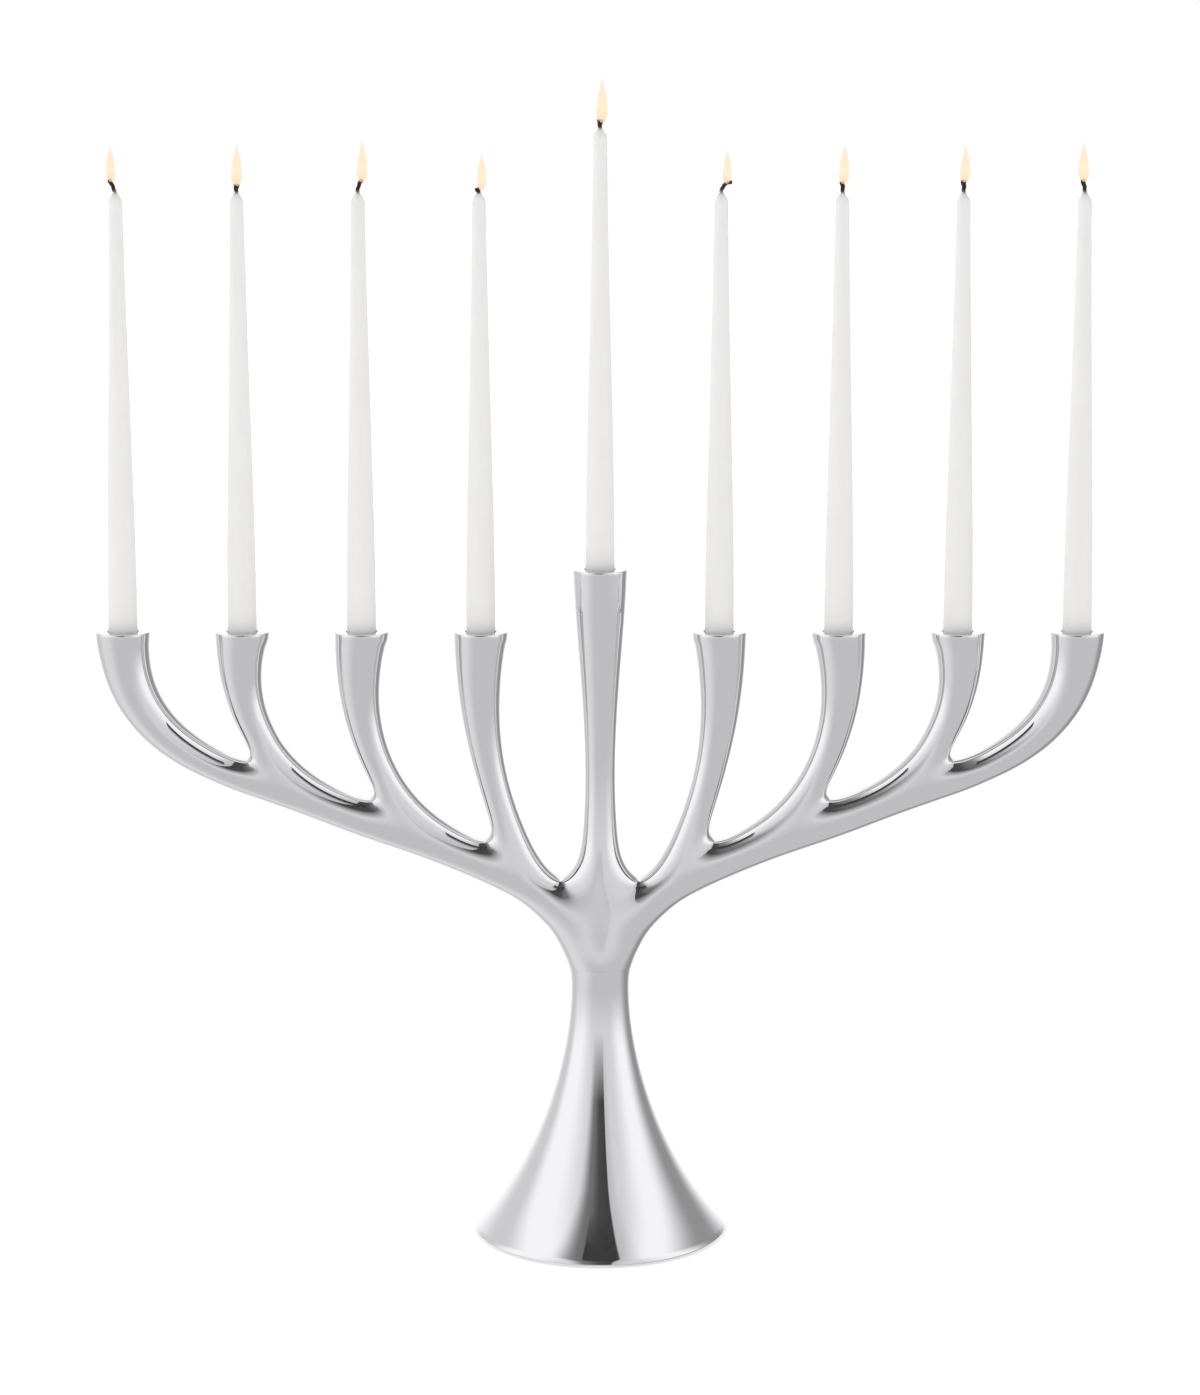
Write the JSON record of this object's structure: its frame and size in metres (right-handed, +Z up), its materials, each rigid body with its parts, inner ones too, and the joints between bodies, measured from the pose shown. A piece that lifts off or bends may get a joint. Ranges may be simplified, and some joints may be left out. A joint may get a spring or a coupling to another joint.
{
  "type": "menorah",
  "caption": "Polished metal branched candelabrum with a raised centre cup, a flared trumpet foot and slim white taper candles standing in open sockets.",
  "frame": {"origin": "centre of the foot, on the surface that the felt pad rests on", "axes": "+Z up along the centre stem, +X along the row of cups to the viewer's right, +Y away from the viewer"},
  "size_m": [0.3674, 0.0944, 0.4112],
  "materials": {
    "polished_casting": "mirror polished casting",
    "polished_foot": "mirror polished casting",
    "fastener_steel": "zinc plated steel",
    "felt": "pressed wool felt",
    "candle_wax": "satin dipped wax",
    "wick_cotton": "charred braided cotton"
  },
  "bodies": {
    "stand": {"branch_casting": "polished_casting", "trumpet_foot": "polished_foot", "foot_pad": "felt", "clamp_stud": "fastener_steel", "clamp_washer": "fastener_steel", "lock_washer": "fastener_steel", "clamp_nut": "fastener_steel"},
    "candle_1_body": {"candle_1": "candle_wax", "wick_1": "wick_cotton"},
    "candle_2_body": {"candle_2": "candle_wax", "wick_2": "wick_cotton"},
    "candle_3_body": {"candle_3": "candle_wax", "wick_3": "wick_cotton"},
    "candle_4_body": {"candle_4": "candle_wax", "wick_4": "wick_cotton"},
    "shamash_candle_body": {"shamash_candle": "candle_wax", "shamash_wick": "wick_cotton"},
    "candle_5_body": {"candle_5": "candle_wax", "wick_5": "wick_cotton"},
    "candle_6_body": {"candle_6": "candle_wax", "wick_6": "wick_cotton"},
    "candle_7_body": {"candle_7": "candle_wax", "wick_7": "wick_cotton"},
    "candle_8_body": {"candle_8": "candle_wax", "wick_8": "wick_cotton"}
  },
  "joints": [
    {"name": "candle_1_lift", "type": "slide", "parent": "stand", "child": "candle_1_body", "axis": [0, 0, 1], "range_m": [0, 0.03]},
    {"name": "candle_2_lift", "type": "slide", "parent": "stand", "child": "candle_2_body", "axis": [0, 0, 1], "range_m": [0, 0.03]},
    {"name": "candle_3_lift", "type": "slide", "parent": "stand", "child": "candle_3_body", "axis": [0, 0, 1], "range_m": [0, 0.03]},
    {"name": "candle_4_lift", "type": "slide", "parent": "stand", "child": "candle_4_body", "axis": [0, 0, 1], "range_m": [0, 0.03]},
    {"name": "shamash_candle_lift", "type": "slide", "parent": "stand", "child": "shamash_candle_body", "axis": [0, 0, 1], "range_m": [0, 0.03]},
    {"name": "candle_5_lift", "type": "slide", "parent": "stand", "child": "candle_5_body", "axis": [0, 0, 1], "range_m": [0, 0.03]},
    {"name": "candle_6_lift", "type": "slide", "parent": "stand", "child": "candle_6_body", "axis": [0, 0, 1], "range_m": [0, 0.03]},
    {"name": "candle_7_lift", "type": "slide", "parent": "stand", "child": "candle_7_body", "axis": [0, 0, 1], "range_m": [0, 0.03]},
    {"name": "candle_8_lift", "type": "slide", "parent": "stand", "child": "candle_8_body", "axis": [0, 0, 1], "range_m": [0, 0.03]}
  ]
}
